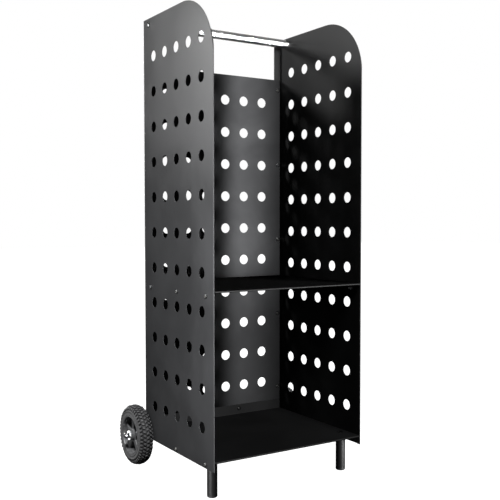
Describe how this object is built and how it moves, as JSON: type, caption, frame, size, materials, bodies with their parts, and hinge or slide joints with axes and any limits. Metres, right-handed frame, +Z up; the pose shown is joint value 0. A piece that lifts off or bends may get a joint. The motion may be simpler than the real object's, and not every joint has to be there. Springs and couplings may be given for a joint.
{
  "type": "log trolley",
  "caption": "Two-tier wheeled log trolley: perforated sheet-steel side and back panels, open front, two shelves, tube handle, front legs and rear wheels.",
  "frame": {"origin": "centre of the whole object's bounding box in plan, on the ground plane", "axes": "+X across the width, -Y towards the open front, +Y towards the wheels and back panel, +Z up"},
  "size_m": [0.4812, 0.409, 1.036],
  "materials": {
    "panel_black": "satin powder coat, fine texture",
    "shelf_black": "satin powder coat, fine texture",
    "leg_black": "satin powder coat",
    "chrome": "polished chrome plate",
    "zinc": "bright zinc plate",
    "plastic_black": "matt moulded",
    "rim_plastic": "semi-gloss moulded",
    "bush_plastic": "natural nylon",
    "tyre": "matt rubber with block tread"
  },
  "bodies": {
    "frame": {"side_panel_left": "panel_black", "side_panel_right": "panel_black", "back_panel": "panel_black", "mid_shelf": "shelf_black", "bottom_shelf": "shelf_black", "handle_tube": "chrome", "handle_plug_left": "plastic_black", "handle_plug_right": "plastic_black", "handle_screw_left": "chrome", "handle_screw_right": "chrome", "front_leg_left": "leg_black", "front_leg_right": "leg_black", "leg_plug_left": "plastic_black", "leg_plug_right": "plastic_black", "leg_bolts": "leg_black", "foot_cap_left": "plastic_black", "foot_cap_right": "plastic_black", "axle_carrier": "panel_black", "axle_rod": "zinc", "axle_spacers": "zinc", "axle_washers_inner": "zinc", "axle_washers_outer": "zinc", "axle_cap_nut_left": "chrome", "axle_cap_nut_right": "chrome", "mid_shelf_screws": "zinc", "mid_shelf_nuts": "zinc", "bottom_shelf_screws": "zinc", "bottom_shelf_nuts": "zinc", "back_panel_screws": "zinc", "back_panel_nuts": "zinc", "axle_carrier_screws": "zinc", "axle_carrier_nuts": "zinc"},
    "wheel_left": {"rim_left": "rim_plastic", "tyre_left": "tyre", "bush_left": "bush_plastic"},
    "wheel_right": {"rim_right": "rim_plastic", "tyre_right": "tyre", "bush_right": "bush_plastic"}
  },
  "joints": [
    {"name": "wheel_left_spin", "type": "hinge", "parent": "frame", "child": "wheel_left", "pos_m": [-0.21, 0.1345, 0.07], "axis": [1, 0, 0], "continuous": true},
    {"name": "wheel_right_spin", "type": "hinge", "parent": "frame", "child": "wheel_right", "pos_m": [0.21, 0.1345, 0.07], "axis": [1, 0, 0], "continuous": true}
  ]
}
